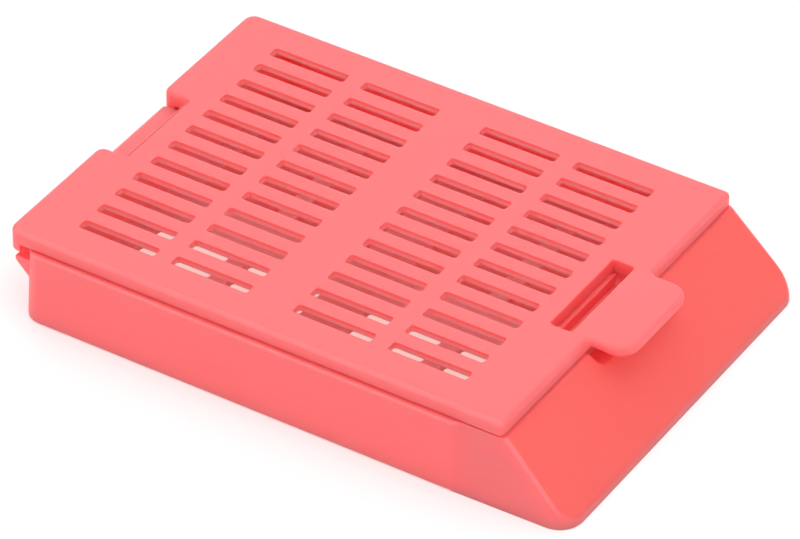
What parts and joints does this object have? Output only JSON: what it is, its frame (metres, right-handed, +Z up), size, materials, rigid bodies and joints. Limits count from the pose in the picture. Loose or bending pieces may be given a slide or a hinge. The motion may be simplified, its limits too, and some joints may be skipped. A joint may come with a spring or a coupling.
{
  "type": "tissue cassette",
  "caption": "Histology tissue cassette: a shallow slotted box with a hinged, snap-shut slotted lid and a sloping writing panel, moulded in coral acetal.",
  "frame": {"origin": "bottom centre: the middle of the underside the cassette stands on, at half its length and half its width", "axes": "+X from the hinge at the rear to the writing panel at the front, +Y across the cassette, +Z up through the lid"},
  "size_m": [0.0406, 0.0286, 0.0061],
  "materials": {
    "coral_acetal": "satin moulded acetal"
  },
  "bodies": {
    "base": {"base": "coral_acetal"},
    "lid": {"lid": "coral_acetal"}
  },
  "joints": [
    {"name": "lid_hinge", "type": "hinge", "parent": "base", "child": "lid", "pos_m": [-0.01985, 0, 0.00465], "axis": [0, -1, 0], "range_deg": [0, 95]}
  ]
}
